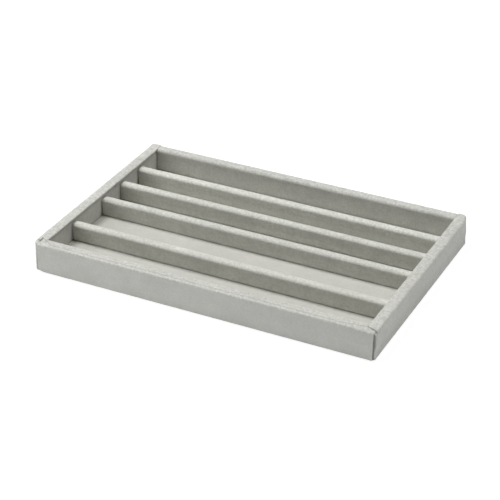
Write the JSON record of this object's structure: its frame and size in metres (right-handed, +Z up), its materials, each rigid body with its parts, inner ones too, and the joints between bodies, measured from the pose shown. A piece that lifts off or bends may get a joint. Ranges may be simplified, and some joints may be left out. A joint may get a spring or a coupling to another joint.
{
  "type": "necklace tray",
  "caption": "Shallow open rectangular tray covered in grey velour, with fixed lengthwise partitions that make wide and narrow compartments for necklaces.",
  "frame": {"origin": "middle of the tray's footprint, on the surface that it rests on", "axes": "+X to the tray's right along its long side, -Y towards its front long face, +Z up out of the open top"},
  "size_m": [0.24, 0.16, 0.0208],
  "materials": {
    "velour": "short grey velour pile, matt with a soft sheen",
    "felt": "plain grey pressed felt",
    "board": "raw fibreboard",
    "card": "raw grey card"
  },
  "bodies": {
    "root": {"underside_felt": "felt", "base_board": "board", "floor_card": "card", "floor_velour": "velour", "front_board": "board", "rear_board": "board", "left_board": "board", "right_board": "board", "front_wrap": "velour", "rear_wrap": "velour", "left_wrap": "velour", "right_wrap": "velour", "front_face_strip": "velour", "rear_face_strip": "velour", "partition_board_1": "board", "partition_board_2": "board", "partition_board_3": "board", "partition_board_4": "board", "partition_cover_1": "velour", "partition_cover_2": "velour", "partition_cover_3": "velour", "partition_cover_4": "velour"}
  },
  "joints": []
}
